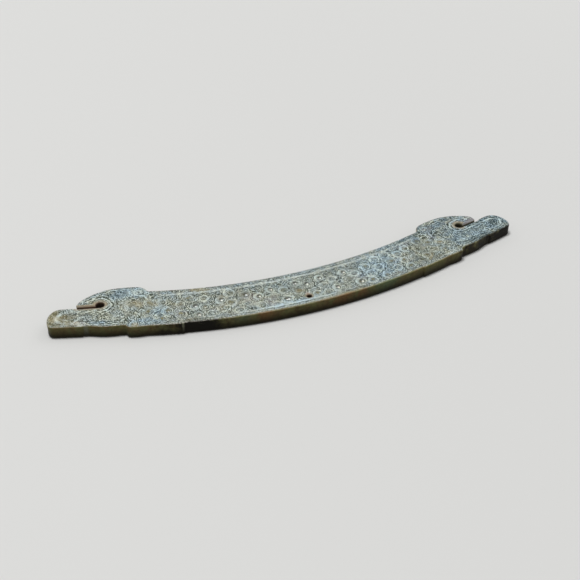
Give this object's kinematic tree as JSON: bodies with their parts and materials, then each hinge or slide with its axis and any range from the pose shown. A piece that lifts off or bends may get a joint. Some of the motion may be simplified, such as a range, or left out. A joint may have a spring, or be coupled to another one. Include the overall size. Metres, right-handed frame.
{
  "type": "jade huang pendant",
  "caption": "Arc-shaped carved jade plaque with a dragon head in profile at each end, hung by a small hole at the middle of its outer edge.",
  "frame": {"origin": "on the surface that the plaque lies on, under the middle of its bounding box", "axes": "+X along the arc's chord from head to head, +Y from the outer edge towards the hollow edge, +Z out of the upper carved face"},
  "size_m": [0.1804, 0.0324, 0.005],
  "materials": {
    "jade": "satin"
  },
  "bodies": {
    "root": {"huang_plaque": "jade"}
  },
  "joints": []
}
